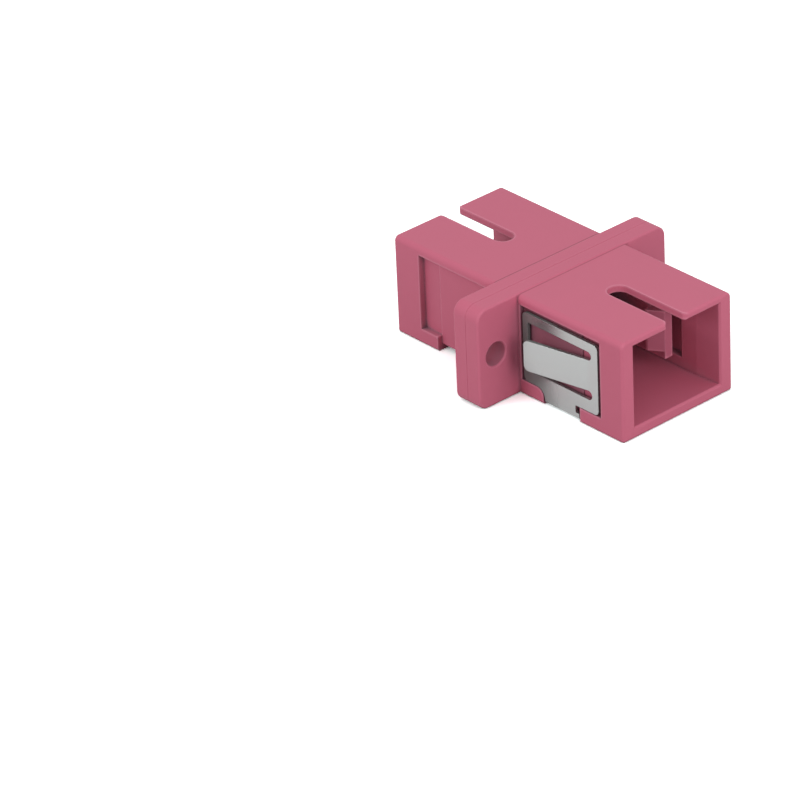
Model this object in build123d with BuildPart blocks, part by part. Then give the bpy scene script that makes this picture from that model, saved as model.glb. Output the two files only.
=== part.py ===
from build123d import *
from math import cos, radians, sin
import os

os.makedirs("parts", exist_ok=True)

# A simplex fibre adapter for a panel. Two housing halves, alike but for the length of their side
# recesses, are welded together at the middle of the flange. Between them sit two latch inserts,
# which hold the split alignment sleeve.
# A folded steel clip round one half springs behind the panel.
#
# Sizes are in millimetres. X runs along the optical axis and out of the port on the clip's side,
# Y runs along the flange, and Z is up, on the side of the key slots. The origin lies on the
# optical axis, in the middle of the flange's thickness.

# Housing body
half_length = 14.0
port_width = 10.0
port_above_axis = 3.95
port_below_axis = 3.75
side_wall = 1.4
roof_wall = 0.65
floor_wall = 1.05
top_edge_radius = 0.5
end_edge_radius = 0.27
bottom_edge_radius = 0.22

# Flange, half of its thickness on each housing half
flange_width = 22.0
half_flange = 1.5
flange_rise = 0.07
flange_top_radius = 1.1
flange_bottom_radius = 0.9
flange_edge_radius = 0.2
seam_chamfer = 0.03
screw_from_end = 2.0
screw_hole_radius = 1.1
screw_hole_chamfer = 0.1

# Locating peg and socket in the flange's mating face
peg_radius = 0.6
peg_length = 0.8
peg_from_body = 1.2
peg_below_axis = 3.1
peg_clearance = 0.05
peg_chamfer = 0.15

# Port
throat_narrowing = 0.25
flare_length = 2.6
mouth_chamfer = 0.15
key_slot_width = 2.0
key_slot_length = 7.9
key_slot_mouth_radius = 0.55

# Pocket for the latch inserts, and the hollows in the side walls where the hooks flex
insert_shoulder = 0.75
hook_hollow_depth = 0.65
hook_hollow_height = 5.4
hook_hollow_from_mouth = 4.35

# Side recess for the clip's frame, and the channel for the clip's strap
recess_depth = 0.5
recess_step = 0.1
recess_stop = 0.48
recess_from_flange = 0.25
recess_length = 9.6
recess_below_top = 0.8
ledge_height = 1.4
ledge_corner_radius = 0.8
channel_start = 4.35
channel_width = 4.45
channel_depth = 0.5
channel_corner_radius = 0.2

# Latch insert
insert_plate = 1.2
insert_clearance = 0.05
holder_radius = 2.3
holder_bore_clearance = 0.05
holder_lip = 0.6
holder_lip_clearance = 0.2
holder_chamfer = 0.3
sleeve_end_gap = 0.1
arm_reach = 9.4
arm_outer = 3.9
arm_thickness = 0.84
arm_height = 4.6
arm_root_radius = 0.4
barb_height = 3.9
barb_rise = 0.86
barb_ramp = 1.23
barb_land = 0.25
barb_undercut = 0.08

# Split alignment sleeve
sleeve_length = 11.4
sleeve_radius = 1.6
ferrule_radius = 1.25
sleeve_slit = 0.5
sleeve_edge = 0.1

# Panel clip
sheet = 0.3
clip_clearance = 0.15
frame_from_recess_end = 0.35
frame_length = 9.0
frame_below_recess_top = 0.52
frame_above_ledge = 0.05
frame_corner_radius = 0.45
flange_side_bar = 0.6
top_bar = 0.87
bottom_bar = 1.17
tongue_above_axis = 0.15
tongue_height = 2.9
tongue_length = 6.6
tongue_angle = 11.8
tongue_bend_radius = 1.5
tongue_corner_radius = 0.5
port_side_bar = 1.15
strap_clearance = 0.15
strap_fold_radius = 0.15
relief_width = 0.45
relief_depth = 0.7
relief_radius = 0.12

# Worked out from the sizes above
body_width = port_width + 2 * side_wall
port_height = port_above_axis + port_below_axis
port_middle = (port_above_axis - port_below_axis) / 2
body_bottom = -port_below_axis - floor_wall
body_top = port_above_axis + roof_wall
body_height = body_top - body_bottom
body_middle = (body_top + body_bottom) / 2
flange_height = body_height + flange_rise
flange_middle = body_middle + flange_rise / 2
screw_spacing = flange_width - 2 * screw_from_end
peg_spacing = body_width + 2 * peg_from_body
throat_width = port_width - 2 * throat_narrowing
insert_pocket = insert_plate + insert_clearance
insert_pocket_width = throat_width + 2 * insert_shoulder
recess_floor = body_width / 2 - recess_depth
recess_start = half_flange + recess_from_flange
recess_end = recess_start + recess_length
recess_top = body_top - recess_below_top
recess_height = body_height - recess_below_top - ledge_height
ledge_top = body_bottom + ledge_height
channel_end = channel_start + channel_width
channel_floor = body_bottom + channel_depth
clear_of_body = flange_width


def at(objects, axis, place):
    # The edges or corners whose middle lies at this place along the axis
    return objects.filter_by_position(axis, place - 0.01, place + 0.01)


# Half of the flange, with its screw holes and a fine groove where the two halves meet
with BuildPart() as flange_half:
    with BuildSketch(Plane.YZ):
        with Locations((0, flange_middle)):
            Rectangle(flange_width, flange_height)
        fillet(vertices().group_by(Axis.Y)[-1], flange_top_radius)
        fillet(vertices().group_by(Axis.Y)[0], flange_bottom_radius)
    extrude(amount=half_flange)
    with Locations(Plane.YZ.offset(half_flange)):
        with GridLocations(screw_spacing, 1, 2, 1):
            Hole(screw_hole_radius)
    fillet(faces().sort_by(Axis.X)[-1].outer_wire().edges(), flange_edge_radius)
    chamfer(faces().sort_by(Axis.X)[-1].inner_wires().edges(), screw_hole_chamfer)
    chamfer(faces().sort_by(Axis.X)[0].outer_wire().edges(), seam_chamfer)


# Housing half with the clip
with BuildPart() as housing_clip_half:
    # Body, rooted in the flange, with softer edges on top than underneath
    with BuildSketch(Plane.YZ.offset(half_flange / 2)):
        with Locations((0, body_middle)):
            Rectangle(body_width, body_height)
        fillet(vertices().group_by(Axis.Y)[-1], top_edge_radius)
    extrude(amount=half_length - half_flange / 2)
    fillet(faces().sort_by(Axis.X)[-1].edges().sort_by(Axis.Z)[1:], end_edge_radius)
    fillet(faces().sort_by(Axis.Z)[0].edges().sort_by(Axis.X)[1:], bottom_edge_radius)
    add(flange_half.part)

    # Recess in each side for the clip's frame, open downwards at the strap's channel
    for side in (1, -1):
        with BuildSketch(Plane.XZ.offset(side * recess_floor)):
            with Locations(((recess_start + recess_end) / 2, ledge_top + recess_height / 2)):
                Rectangle(recess_end - recess_start, recess_height)
            with Locations(((channel_start + channel_end) / 2, ledge_top - ledge_height / 2)):
                Rectangle(channel_width, ledge_height)
            ledge_corner = vertices().sort_by_distance((channel_start, ledge_top))[0]
            fillet(ledge_corner, ledge_corner_radius)
        extrude(amount=side * 2 * recess_depth, mode=Mode.SUBTRACT)

        # The end of the recess beyond the channel is a little deeper
        with BuildSketch(Plane.XZ.offset(side * (recess_floor - recess_step))):
            with Locations(((channel_end + recess_end) / 2, ledge_top + recess_height / 2)):
                Rectangle(recess_end - channel_end, recess_height)
        extrude(amount=side * 2 * recess_depth, mode=Mode.SUBTRACT)

    # Channel for the strap across the underside, rounded where the strap folds up
    with BuildSketch(Plane.XY.offset(body_bottom)):
        with Locations(((channel_start + channel_end) / 2, 0)):
            Rectangle(channel_width, body_width)
    extrude(amount=channel_depth, mode=Mode.SUBTRACT)
    fillet(at(edges().filter_by(Axis.X), Axis.Z, channel_floor), channel_corner_radius)

    # Port, with its side walls flaring towards the mouth
    with BuildSketch(Plane.YZ):
        with Locations((0, port_middle)):
            Rectangle(throat_width, port_height)
    extrude(amount=half_length, mode=Mode.SUBTRACT)
    with BuildSketch(Plane.YZ.offset(half_length - flare_length)):
        with Locations((0, port_middle)):
            Rectangle(throat_width, port_height)
    with BuildSketch(Plane.YZ.offset(half_length)):
        with Locations((0, port_middle)):
            Rectangle(port_width, port_height)
    loft(mode=Mode.SUBTRACT)
    chamfer(faces().sort_by(Axis.X)[-1].inner_wires().edges(), mouth_chamfer)

    # Key slot through the roof, open at the mouth
    with BuildSketch():
        with Locations((half_length, 0)):
            SlotCenterToCenter(2 * key_slot_length - key_slot_width, key_slot_width)
            with Locations((half_flange, 0)):
                Rectangle(2 * half_flange, key_slot_width + 4 * key_slot_mouth_radius)
        fillet(vertices().sort_by_distance((half_length, 0))[:2], key_slot_mouth_radius)
    extrude(amount=clear_of_body, mode=Mode.SUBTRACT)

    # Pocket whose shoulders trap the insert, and the hollows behind the hooks
    with BuildSketch(Plane.YZ):
        with Locations((0, port_middle)):
            Rectangle(insert_pocket_width, port_height)
    extrude(amount=insert_pocket, mode=Mode.SUBTRACT)
    with BuildSketch(Plane.XZ):
        with Locations(((half_length - hook_hollow_from_mouth) / 2, 0)):
            Rectangle(half_length - hook_hollow_from_mouth, hook_hollow_height)
    extrude(amount=throat_width / 2 + hook_hollow_depth, both=True, mode=Mode.SUBTRACT)

    # Locating peg on one wing and its socket on the other
    with BuildSketch(Plane.YZ):
        with Locations((-peg_spacing / 2, -peg_below_axis)):
            Circle(peg_radius + peg_clearance)
    extrude(amount=peg_length + peg_clearance, mode=Mode.SUBTRACT)
    with BuildSketch(Plane.YZ):
        with Locations((peg_spacing / 2, -peg_below_axis)):
            Circle(peg_radius)
    extrude(amount=-peg_length)
    chamfer(faces().sort_by(Axis.X)[0].edges(), peg_chamfer)

housing_clip_half.part.label = "housing_clip_half"
export_step(housing_clip_half.part, "parts/housing_clip_half.step")


# The other housing half is alike, turned round, with a stop that ends each recess a little earlier
with BuildPart() as housing_plain_half:
    add(housing_clip_half.part, rotation=(0, 0, 180))
    for side in (1, -1):
        with BuildSketch(Plane.XZ.offset(side * (recess_floor - recess_step))):
            with Locations((recess_stop / 2 - recess_end, ledge_top + recess_height / 2)):
                Rectangle(recess_stop, recess_height)
        extrude(amount=side * (recess_depth + recess_step))

housing_plain_half.part.label = "housing_plain_half"
export_step(housing_plain_half.part, "parts/housing_plain_half.step")


# Split alignment sleeve, with its slit on top
with BuildPart() as alignment_sleeve:
    with BuildSketch(Plane.YZ.offset(-sleeve_length / 2)):
        Circle(sleeve_radius)
        Circle(ferrule_radius, mode=Mode.SUBTRACT)
    extrude(amount=sleeve_length)
    chamfer(edges().filter_by(GeomType.CIRCLE), sleeve_edge)
    with BuildSketch(Plane.XY):
        Rectangle(sleeve_length, sleeve_slit)
    extrude(amount=2 * sleeve_radius, mode=Mode.SUBTRACT)

alignment_sleeve.part.label = "alignment_sleeve"
export_step(alignment_sleeve.part, "parts/alignment_sleeve.step")


# Latch insert: a base plate with half of the sleeve holder and two latch hooks
holder_bore = sleeve_radius + holder_bore_clearance
holder_depth = sleeve_length / 2 + sleeve_end_gap
holder_length = holder_depth + holder_lip
arm_inner = arm_outer - arm_thickness
barb_tip = arm_inner - barb_rise
barb_apex = arm_reach - barb_ramp
barb_back = barb_apex - barb_land

with BuildPart() as latch_insert_clip_side:
    # Base plate, trapped between the shoulders of the two housing halves
    with BuildSketch(Plane.YZ):
        with Locations((0, port_middle)):
            Rectangle(insert_pocket_width - 2 * insert_clearance, port_height - 2 * insert_clearance)
    extrude(amount=insert_plate)

    # Arms, with rounded roots on the plate
    with BuildSketch():
        with Locations((insert_plate / 2, 0)):
            Rectangle(insert_plate, throat_width)
        with Locations((arm_reach / 2, 0)):
            with GridLocations(1, 2 * arm_outer - arm_thickness, 1, 2):
                Rectangle(arm_reach, arm_thickness)
        plate_corners = at(vertices(), Axis.X, insert_plate)
        fillet(plate_corners.sort_by_distance((insert_plate, 0))[:4], arm_root_radius)
    extrude(amount=arm_height / 2, both=True)

    # Barbs, flush with the top of the arms
    with BuildSketch(Plane.XY.offset(arm_height / 2 - barb_height)):
        with BuildLine():
            Polyline(
                (arm_reach, arm_inner),
                (barb_apex, barb_tip),
                (barb_back, barb_tip),
                (barb_back - barb_undercut, arm_inner),
                (barb_back - barb_undercut, arm_inner + arm_thickness / 2),
                (arm_reach, arm_inner + arm_thickness / 2),
                close=True,
            )
        make_face()
        mirror(about=Plane.XZ)
    extrude(amount=barb_height)

    # Half of the sleeve holder, with a lip that keeps the sleeve in
    with BuildSketch(Plane.YZ):
        Circle(holder_radius)
    extrude(amount=holder_length)
    chamfer(edges().filter_by(GeomType.CIRCLE).sort_by(Axis.X)[-1], holder_chamfer)
    with BuildSketch(Plane.YZ):
        Circle(ferrule_radius + holder_lip_clearance)
    extrude(amount=holder_length, mode=Mode.SUBTRACT)
    chamfer(edges().filter_by(GeomType.CIRCLE).sort_by(Axis.X)[-1], holder_chamfer)
    with BuildSketch(Plane.YZ):
        Circle(holder_bore)
    extrude(amount=holder_depth, mode=Mode.SUBTRACT)

latch_insert_clip_side.part.label = "latch_insert_clip_side"
export_step(latch_insert_clip_side.part, "parts/latch_insert_clip_side.step")


# The other insert is the same moulding, back to back with the first
with BuildPart() as latch_insert_plain_side:
    add(latch_insert_clip_side.part, rotation=(0, 0, 180))

latch_insert_plain_side.part.label = "latch_insert_plain_side"
export_step(latch_insert_plain_side.part, "parts/latch_insert_plain_side.step")


# Panel clip, folded from one sheet
clip_inner = recess_floor + clip_clearance
frame_end = recess_end - frame_from_recess_end
frame_start = frame_end - frame_length
frame_top = recess_top - frame_below_recess_top
frame_bottom = ledge_top + frame_above_ledge
strap_start = channel_start + strap_clearance
strap_end = channel_end - strap_clearance
strap_top = channel_floor - clip_clearance
window_start = frame_start + flange_side_bar
window_top = frame_top - top_bar
window_bottom = frame_bottom + bottom_bar
tongue_top = tongue_above_axis + tongue_height / 2
tongue_bottom = tongue_above_axis - tongue_height / 2
hinge = frame_end - port_side_bar

# One sprung tongue: the sheet bends outwards at the hinge and ends short of the flange
with BuildPart() as tongue:
    with BuildSketch(Plane.XY.offset(tongue_bottom)):
        with BuildLine():
            FilletPolyline(
                (hinge + port_side_bar / 2, -clip_inner),
                (hinge, -clip_inner),
                (
                    hinge - tongue_length * cos(radians(tongue_angle)),
                    -clip_inner - tongue_length * sin(radians(tongue_angle)),
                ),
                radius=tongue_bend_radius,
            )
            offset(amount=sheet, side=Side.LEFT)
        make_face()
    extrude(amount=tongue_height)
    free_end = faces().sort_by(Axis.X)[0]
    fillet(free_end.edges().filter_by(Axis.Z, reverse=True), tongue_corner_radius)

with BuildPart() as panel_clip:
    # Folded section, from the top of one frame down, under the body and up the other side
    with BuildSketch(Plane.YZ.offset(frame_start)):
        with BuildLine():
            FilletPolyline(
                (-clip_inner, frame_top),
                (-clip_inner, strap_top),
                (clip_inner, strap_top),
                (clip_inner, frame_top),
                radius=strap_fold_radius,
            )
            offset(amount=sheet, side=Side.RIGHT)
        make_face()
    extrude(amount=frame_length)

    # Outline as cut from the sheet: a wide frame above, a narrow strap below
    with BuildSketch(Plane.XZ):
        with Locations(((frame_start + frame_end) / 2, (frame_bottom + frame_top) / 2)):
            Rectangle(frame_length, frame_top - frame_bottom)
        fillet(vertices(), frame_corner_radius)
        with Locations(((strap_start + strap_end) / 2, (body_bottom + window_bottom) / 2)):
            Rectangle(strap_end - strap_start, window_bottom - body_bottom)
        strap_corner = vertices().sort_by_distance((strap_start, frame_bottom))[0]
        fillet(strap_corner, ledge_corner_radius + strap_clearance)
        with Locations((strap_end, frame_bottom - relief_depth / 2)):
            RectangleRounded(2 * relief_width, relief_depth, relief_radius, mode=Mode.SUBTRACT)
    extrude(amount=clear_of_body, both=True, mode=Mode.INTERSECT)

    # Window round the tongue, with a slot on each side of its root
    with BuildSketch(Plane.XZ):
        with Locations(((window_start + hinge) / 2, (window_bottom + window_top) / 2)):
            Rectangle(hinge - window_start, window_top - window_bottom)
        for window_edge, tongue_edge in ((window_top, tongue_top), (window_bottom, tongue_bottom)):
            with Locations((hinge, (window_edge + tongue_edge) / 2)):
                Circle(abs(window_edge - tongue_edge) / 2)
    extrude(amount=clear_of_body, both=True, mode=Mode.SUBTRACT)

    # The two tongues
    add(tongue.part)
    mirror(tongue.part, about=Plane.XZ)

panel_clip.part.label = "panel_clip"
export_step(panel_clip.part, "parts/panel_clip.step")
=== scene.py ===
import math
import bpy
from mathutils import Matrix, Vector


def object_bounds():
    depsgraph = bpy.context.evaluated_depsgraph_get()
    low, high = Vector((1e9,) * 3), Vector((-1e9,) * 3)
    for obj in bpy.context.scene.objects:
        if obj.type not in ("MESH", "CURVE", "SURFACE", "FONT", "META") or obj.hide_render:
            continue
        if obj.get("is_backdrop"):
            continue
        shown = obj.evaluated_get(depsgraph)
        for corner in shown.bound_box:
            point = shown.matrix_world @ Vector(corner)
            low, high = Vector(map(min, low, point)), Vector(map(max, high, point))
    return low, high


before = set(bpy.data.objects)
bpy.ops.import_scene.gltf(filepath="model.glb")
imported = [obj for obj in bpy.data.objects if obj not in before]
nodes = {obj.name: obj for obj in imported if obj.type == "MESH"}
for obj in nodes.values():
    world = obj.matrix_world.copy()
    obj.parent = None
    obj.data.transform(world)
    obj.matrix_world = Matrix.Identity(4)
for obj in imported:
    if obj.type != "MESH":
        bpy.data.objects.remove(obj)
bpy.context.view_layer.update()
mm = 0.001
print("frame loaded:", sorted(nodes))

scene = bpy.context.scene
scene.view_settings.view_transform = "Standard"


# Camera, at the place the photograph was taken from

cameraSettings = {
    "azimuth": -40.64,      # degrees from +X, seen from above
    "elevation": 29.782,
    "roll": -2.744,
    "distance": 413.6,      # mm from the look point
    "lookX": 1.282,         # mm
    "lookY": -19.662,
    "lookZ": -0.1,
    "focalPixels": 5003.96,
    "imagePixels": 800,
    "sensor": 36.0,         # mm
    "clipStart": 20,        # mm
    "clipEnd": 10000,
}


def makeCamera(s):
    az, el, roll = (math.radians(s[k]) for k in ("azimuth", "elevation", "roll"))
    forward = -Vector((math.cos(el) * math.cos(az), math.cos(el) * math.sin(az), math.sin(el)))
    level = forward.cross(Vector((0, 0, 1))).normalized()
    upright = level.cross(forward)
    right = level * math.cos(roll) + upright * math.sin(roll)
    up = upright * math.cos(roll) - level * math.sin(roll)
    place = Vector((s["lookX"], s["lookY"], s["lookZ"])) * mm - forward * s["distance"] * mm
    turn = Matrix((right, up, -forward)).transposed().to_4x4()
    data = bpy.data.cameras.new("photoCamera")
    data.sensor_width = s["sensor"]
    data.lens = s["focalPixels"] / s["imagePixels"] * s["sensor"]
    data.clip_start = s["clipStart"] * mm
    data.clip_end = s["clipEnd"] * mm
    camera = bpy.data.objects.new("photoCamera", data)
    camera.matrix_world = Matrix.Translation(place) @ turn
    scene.collection.objects.link(camera)
    scene.camera = camera


makeCamera(cameraSettings)
print("camera made")


# Small helpers for node trees

def newMaterial(name):
    material = bpy.data.materials.new(name)
    material.use_nodes = True
    tree = material.node_tree
    tree.nodes.clear()
    return material, tree


def addNode(tree, kind, inputs=None, **fields):
    # an input is either linked, if it is given a socket, or set
    node = tree.nodes.new(kind)
    for key, value in fields.items():
        setattr(node, key, value)
    for key, value in (inputs or {}).items():
        if isinstance(value, bpy.types.NodeSocket):
            tree.links.new(value, node.inputs[key])
        else:
            node.inputs[key].default_value = value
    return node


def calculate(tree, operation, first, second=0.0, clamp=False):
    node = addNode(tree, "ShaderNodeMath", {0: first, 1: second}, operation=operation, use_clamp=clamp)
    return node.outputs[0]


def rescale(tree, value, fromMin, fromMax, toMin=0.0, toMax=1.0):
    node = addNode(tree, "ShaderNodeMapRange", {
        "Value": value, "From Min": fromMin, "From Max": fromMax, "To Min": toMin, "To Max": toMax,
    })
    return node.outputs["Result"]


def blend(tree, kind, factor, first, second):
    # kind is FLOAT, VECTOR or RGBA
    node = addNode(tree, "ShaderNodeMix", {"Factor": factor, "A": first, "B": second}, data_type=kind)
    return node.outputs["Result"]


def boxMask(tree, values, bands):
    # one where every value lies within its band, given as middle, half width and fade
    mask = None
    for value, (middle, half, fade) in zip(values, bands):
        offset = calculate(tree, "ABSOLUTE", calculate(tree, "SUBTRACT", value, middle))
        band = rescale(tree, offset, half + fade, half)
        mask = calculate(tree, "MULTIPLY", mask, band) if mask else band
    return mask


def objectPlace(tree):
    return addNode(tree, "ShaderNodeTexCoord").outputs["Object"]


def objectAxes(tree):
    return addNode(tree, "ShaderNodeSeparateXYZ", {"Vector": objectPlace(tree)}).outputs


def finishMaterial(tree, inputs):
    shader = addNode(tree, "ShaderNodeBsdfPrincipled", inputs)
    addNode(tree, "ShaderNodeOutputMaterial", {"Surface": shader.outputs["BSDF"]})


# Effect groups, shared by the materials

bevelSamples = 6
nearnessSamples = 12


def newGroup(name, inputs, outputs):
    # inputs are numbers with their usual values, and outputs are numbers or vectors
    tree = bpy.data.node_groups.new(name, "ShaderNodeTree")
    for label, value in inputs.items():
        socket = tree.interface.new_socket(name=label, in_out="INPUT", socket_type="NodeSocketFloat")
        socket.default_value = value
    for label, kind in outputs.items():
        tree.interface.new_socket(name=label, in_out="OUTPUT", socket_type="NodeSocket" + kind)
    start = tree.nodes.new("NodeGroupInput")
    end = tree.nodes.new("NodeGroupOutput")
    return tree, start.outputs, end.inputs


def makeSoftEdge():
    # rounds the shading at sharp edges
    tree, given, result = newGroup("softEdge", {"Radius": 0.0001}, {"Normal": "Vector"})
    bevel = addNode(tree, "ShaderNodeBevel", {"Radius": given["Radius"]}, samples=bevelSamples)
    tree.links.new(bevel.outputs["Normal"], result["Normal"])
    return tree


def makeNearness(name, inside, alone):
    # mask from how much surface lies within reach: outer edges if it looks inside, else corners
    # and hollows, on the piece alone or with its neighbours
    usual = {"Reach": 0.0002, "Gain": 2.0, "Threshold": 0.05}
    tree, given, result = newGroup(name, usual, {"Mask": "Float"})
    free = addNode(tree, "ShaderNodeAmbientOcclusion", {"Distance": given["Reach"]},
                   samples=nearnessSamples, inside=inside, only_local=alone)
    shut = calculate(tree, "SUBTRACT", 1.0, free.outputs["AO"])
    above = calculate(tree, "SUBTRACT", shut, given["Threshold"])
    mask = calculate(tree, "MULTIPLY", above, given["Gain"], clamp=True)
    tree.links.new(mask, result["Mask"])
    return tree


def makeMouldGrain():
    # spark-eroded mould texture: a fine grain on a faint large mottle
    usual = {"Grain Scale": 9000.0, "Mottle Scale": 350.0, "Mottle Share": 0.25}
    tree, given, result = newGroup("mouldGrain", usual, {"Height": "Float", "Mottle": "Float"})
    place = objectPlace(tree)
    grain = addNode(tree, "ShaderNodeTexNoise", {
        "Vector": place, "Scale": given["Grain Scale"], "Detail": 3.0, "Roughness": 0.6,
    })
    mottle = addNode(tree, "ShaderNodeTexNoise", {
        "Vector": place, "Scale": given["Mottle Scale"], "Detail": 4.0, "Roughness": 0.5,
    })
    height = blend(tree, "FLOAT", given["Mottle Share"], grain.outputs["Fac"], mottle.outputs["Fac"])
    tree.links.new(height, result["Height"])
    tree.links.new(mottle.outputs["Fac"], result["Mottle"])
    return tree


def makeRolledGrain():
    # fine lines along the rolling direction of sheet metal
    usual = {"Across Scale": 30000.0, "Along Scale": 600.0}
    tree, given, result = newGroup("rolledGrain", usual, {"Lines": "Float"})
    scale = addNode(tree, "ShaderNodeCombineXYZ", {
        "X": given["Along Scale"], "Y": given["Along Scale"], "Z": given["Across Scale"],
    })
    stretch = addNode(tree, "ShaderNodeVectorMath", {0: objectPlace(tree), 1: scale.outputs[0]},
                      operation="MULTIPLY")
    lines = addNode(tree, "ShaderNodeTexNoise", {
        "Vector": stretch.outputs[0], "Scale": 1.0, "Detail": 4.0, "Roughness": 0.65,
    })
    tree.links.new(lines.outputs["Fac"], result["Lines"])
    return tree


def fillGroup(tree, group, inputs):
    return addNode(tree, "ShaderNodeGroup", inputs, node_tree=group).outputs


softEdge = makeSoftEdge()
outerEdge = makeNearness("outerEdge", inside=True, alone=True)
crevice = makeNearness("crevice", inside=False, alone=False)
cavity = makeNearness("cavity", inside=False, alone=True)
mouldGrain = makeMouldGrain()
rolledGrain = makeRolledGrain()


# Heather violet moulded plastic, for the housing halves and the latch inserts. Lengths are in metres.

plasticSettings = {
    "colour": (0.585, 0.144, 0.221, 1),
    "darkColour": (0.555, 0.134, 0.207, 1),     # the mottle's other shade
    "edgeHighlightColour": (0.76, 0.300, 0.400, 1),      # painted highlight along the outer edges
    "pale": {"Reach": 0.0003, "Gain": 1.6, "Threshold": 0.14},
    "hollowShadeColour": (0.435, 0.235, 0.300, 1),   # painted shade: duller, less red colour inside the ports
    "hollow": {"Reach": 0.006, "Gain": 4.0, "Threshold": 0.42},
    # painted shade in corners, creases and gaps between parts
    "creviceShadeColour": (0.080, 0.020, 0.028, 1),
    "crevice": {"Reach": 0.0009, "Gain": 1.5, "Threshold": 0.36},
    "screenColour": (0.33, 0.115, 0.158, 1),    # the recess floor in the clip's shade
    "screenX": (0.0062, 0.0042, 0.0003),        # middle, half width and fade of the shaded stretch
    "screenY": (0.0059, 0.00002, 0.00002),
    "screenZ": (0.0002, 0.0033, 0.0002),
    "footX": (0.00153, 0.00003, 0.00007),       # painted shade: the dark line along the foot of the flange
    "footY": (0.0, 0.0064, 0.00025),
    "footShade": 0.32,
    "seamClear": (0.00008, 0.00026),            # x where edge effects start and are full
    "edgeRadius": 0.00012,
    "roughness": (0.42, 0.52),
    "grain": {"Grain Scale": 9000.0, "Mottle Scale": 350.0, "Mottle Share": 0.25},
    "grainDepth": 0.00002,
    "grainStrength": 0.06,
    "specular": 0.17,
}

# painted shade: the inserts, deep in the ports, get a darker copy of the same plastic
shadedInsertSettings = dict(
    plasticSettings,
    colour=(0.50, 0.142, 0.212, 1),
    darkColour=(0.47, 0.132, 0.198, 1),
)


def makePlastic(name, s):
    material, tree = newMaterial(name)
    axes = objectAxes(tree)
    along = calculate(tree, "ABSOLUTE", axes["X"])
    across = calculate(tree, "ABSOLUTE", axes["Y"])

    # the halves meet in the plane x = 0, and there the edge effects would draw a pale line
    clear = rescale(tree, along, *s["seamClear"])
    flat = addNode(tree, "ShaderNodeNewGeometry").outputs["Normal"]
    soft = fillGroup(tree, softEdge, {"Radius": s["edgeRadius"]})["Normal"]
    normal = blend(tree, "VECTOR", clear, flat, soft)
    # painted highlight on the outer edges, cleared at the joint plane
    pale = calculate(tree, "MULTIPLY", fillGroup(tree, outerEdge, s["pale"])["Mask"], clear)

    # from the plain mottled colour through painted shade in the hollows and under the clip, a painted
    # highlight on the edges, and painted shade in the crevices and along the foot of the flange, one
    # effect on the other
    grain = fillGroup(tree, mouldGrain, s["grain"])
    # painted shade inside the ports and other hollows
    hollow = fillGroup(tree, cavity, s["hollow"])["Mask"]
    screen = boxMask(tree, (axes["X"], across, axes["Z"]), (s["screenX"], s["screenY"], s["screenZ"]))
    foot = boxMask(tree, (along, across), (s["footX"], s["footY"]))
    foot = calculate(tree, "MULTIPLY", foot, s["footShade"])
    # painted shade in the crevices and along the foot of the flange
    shade = calculate(tree, "MAXIMUM", fillGroup(tree, crevice, s["crevice"])["Mask"], foot)
    colour = blend(tree, "RGBA", grain["Mottle"], s["darkColour"], s["colour"])
    colour = blend(tree, "RGBA", hollow, colour, s["hollowShadeColour"])
    colour = blend(tree, "RGBA", screen, colour, s["screenColour"])
    colour = blend(tree, "RGBA", pale, colour, s["edgeHighlightColour"])
    colour = blend(tree, "RGBA", shade, colour, s["creviceShadeColour"])

    bump = addNode(tree, "ShaderNodeBump", {
        "Strength": s["grainStrength"], "Distance": s["grainDepth"], "Height": grain["Height"],
        "Normal": normal,
    })
    finishMaterial(tree, {
        "Base Color": colour,
        "Roughness": rescale(tree, grain["Mottle"], 0.0, 1.0, *s["roughness"]),
        "Specular IOR Level": s["specular"],
        "Normal": bump.outputs["Normal"],
    })
    return material


# Bright rolled spring steel, for the panel clip

steelSettings = {
    "colour": (0.360, 0.375, 0.372, 1),
    "metallic": 0.8,
    "flangeShadeColour": (0.165, 0.180, 0.175, 1),     # painted shade and reflection: darker, duller steel in the corner by the flange
    "flangeShadeMetallic": 0.05,
    "flangeShade": {"Reach": 0.005, "Gain": 5.0, "Threshold": 0.2},
    "flangeShadeEnds": (0.0064, 0.0040),               # x where the painted shade starts and is full
    "edgeRadius": 0.00006,
    "roughness": (0.20, 0.30),
    "grain": {"Across Scale": 30000.0, "Along Scale": 600.0},
    "grainDepth": 0.00001,
    "grainStrength": 0.05,
}


def makeSteel(name, s):
    material, tree = newMaterial(name)
    axes = objectAxes(tree)
    # painted shade and reflection near the flange: a darker base colour and less metallic
    near = rescale(tree, axes["X"], *s["flangeShadeEnds"])
    flangeShade = calculate(tree, "MULTIPLY", fillGroup(tree, crevice, s["flangeShade"])["Mask"], near)
    lines = fillGroup(tree, rolledGrain, s["grain"])["Lines"]
    bump = addNode(tree, "ShaderNodeBump", {
        "Strength": s["grainStrength"], "Distance": s["grainDepth"], "Height": lines,
        "Normal": fillGroup(tree, softEdge, {"Radius": s["edgeRadius"]})["Normal"],
    })
    finishMaterial(tree, {
        "Base Color": blend(tree, "RGBA", flangeShade, s["colour"], s["flangeShadeColour"]),
        "Metallic": rescale(tree, flangeShade, 0.0, 1.0, s["metallic"], s["flangeShadeMetallic"]),
        "Roughness": rescale(tree, lines, 0.0, 1.0, *s["roughness"]),
        "Normal": bump.outputs["Normal"],
    })
    return material


# Polished zirconia, for the alignment sleeve

ceramicSettings = {
    "colour": (0.80, 0.78, 0.72, 1),
    "roughness": 0.14,
    "edgeRadius": 0.00005,
}


def makeCeramic(name, s):
    material, tree = newMaterial(name)
    finishMaterial(tree, {
        "Base Color": s["colour"],
        "Roughness": s["roughness"],
        "Normal": fillGroup(tree, softEdge, {"Radius": s["edgeRadius"]})["Normal"],
    })
    return material


def paint(node, material):
    mesh = nodes[node].data
    mesh.materials.clear()
    mesh.materials.append(material)


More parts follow.
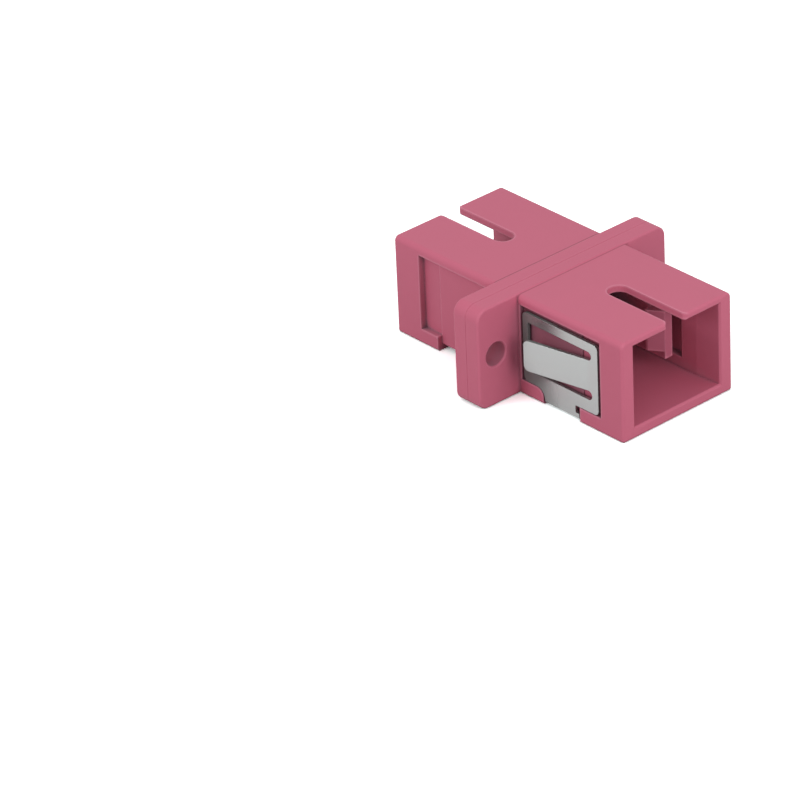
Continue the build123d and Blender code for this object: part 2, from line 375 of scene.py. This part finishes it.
housingPlastic = makePlastic("housingPlastic", plasticSettings)
paint("housing_clip_half", housingPlastic)
paint("housing_plain_half", housingPlastic)
# the darker, shaded copy of the plastic for the inserts
shadedInsertPlastic = makePlastic("shadedInsertPlastic", shadedInsertSettings)
paint("latch_insert_clip_side", shadedInsertPlastic)
paint("latch_insert_plain_side", shadedInsertPlastic)
paint("panel_clip", makeSteel("springSteel", steelSettings))
paint("alignment_sleeve", makeCeramic("zirconia", ceramicSettings))
print("materials made")


# Studio: floor and sky are white to the camera and in reflections, and dimmer as light sources

stageSettings = {
    "floorSize": 3.0,                        # metres
    "floorBounce": (0.35, 0.35, 0.35, 1),    # colour that lights the object
    "floorSeen": (1.85, 2.0, 1.98, 1),       # colour that the camera sees, white once lit
    "floorMirrored": (1.6, 1.6, 1.6, 1),     # colour that shiny surfaces show
    "skyColour": (1, 1, 1, 1),
    "skyLight": 0.70,
    "skySeen": 1.0,
}


def rayMasks(tree):
    # rays from the camera, and rays that a shiny or clear surface sends on
    path = addNode(tree, "ShaderNodeLightPath").outputs
    mirrored = calculate(tree, "MAXIMUM", path["Is Glossy Ray"], path["Is Transmission Ray"])
    return path["Is Camera Ray"], mirrored


def makeFloor(s):
    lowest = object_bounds()[0].z
    bpy.ops.mesh.primitive_plane_add(size=s["floorSize"], location=(0, 0, lowest))
    floor = bpy.context.object
    floor.name = "floor"
    material, tree = newMaterial("paleFloor")
    camera, mirrored = rayMasks(tree)
    colour = blend(tree, "RGBA", mirrored, s["floorBounce"], s["floorMirrored"])
    colour = blend(tree, "RGBA", camera, colour, s["floorSeen"])
    shader = addNode(tree, "ShaderNodeBsdfDiffuse", {"Color": colour})
    addNode(tree, "ShaderNodeOutputMaterial", {"Surface": shader.outputs["BSDF"]})
    floor.data.materials.append(material)
    floor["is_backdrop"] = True


def makeSky(s):
    world = bpy.data.worlds.new("studio")
    scene.world = world
    world.use_nodes = True
    tree = world.node_tree
    tree.nodes.clear()
    camera, mirrored = rayMasks(tree)
    seen = calculate(tree, "MAXIMUM", mirrored, camera)
    background = addNode(tree, "ShaderNodeBackground", {
        "Color": s["skyColour"],
        "Strength": rescale(tree, seen, 0.0, 1.0, s["skyLight"], s["skySeen"]),
    })
    addNode(tree, "ShaderNodeOutputWorld", {"Surface": background.outputs["Background"]})


lampSettings = {
    # degrees from +X seen from above, degrees up, metres away, metres across, watts
    "portLamp": {"azimuth": -4, "elevation": 20, "distance": 0.14, "size": 0.075, "power": 0.060},
    "leftLamp": {"azimuth": -104, "elevation": 30, "distance": 0.25, "size": 0.09, "power": 0.156},
}


def addLamp(name, s):
    az, el = math.radians(s["azimuth"]), math.radians(s["elevation"])
    away = Vector((math.cos(el) * math.cos(az), math.cos(el) * math.sin(az), math.sin(el)))
    data = bpy.data.lights.new(name, "AREA")
    data.shape = "DISK"
    data.size = s["size"]
    data.energy = s["power"]
    lamp = bpy.data.objects.new(name, data)
    lamp.location = away * s["distance"]
    lamp.rotation_euler = away.to_track_quat("Z", "Y").to_euler()
    scene.collection.objects.link(lamp)


makeFloor(stageSettings)
makeSky(stageSettings)
for name, settings in lampSettings.items():
    addLamp(name, settings)
print("stage made")
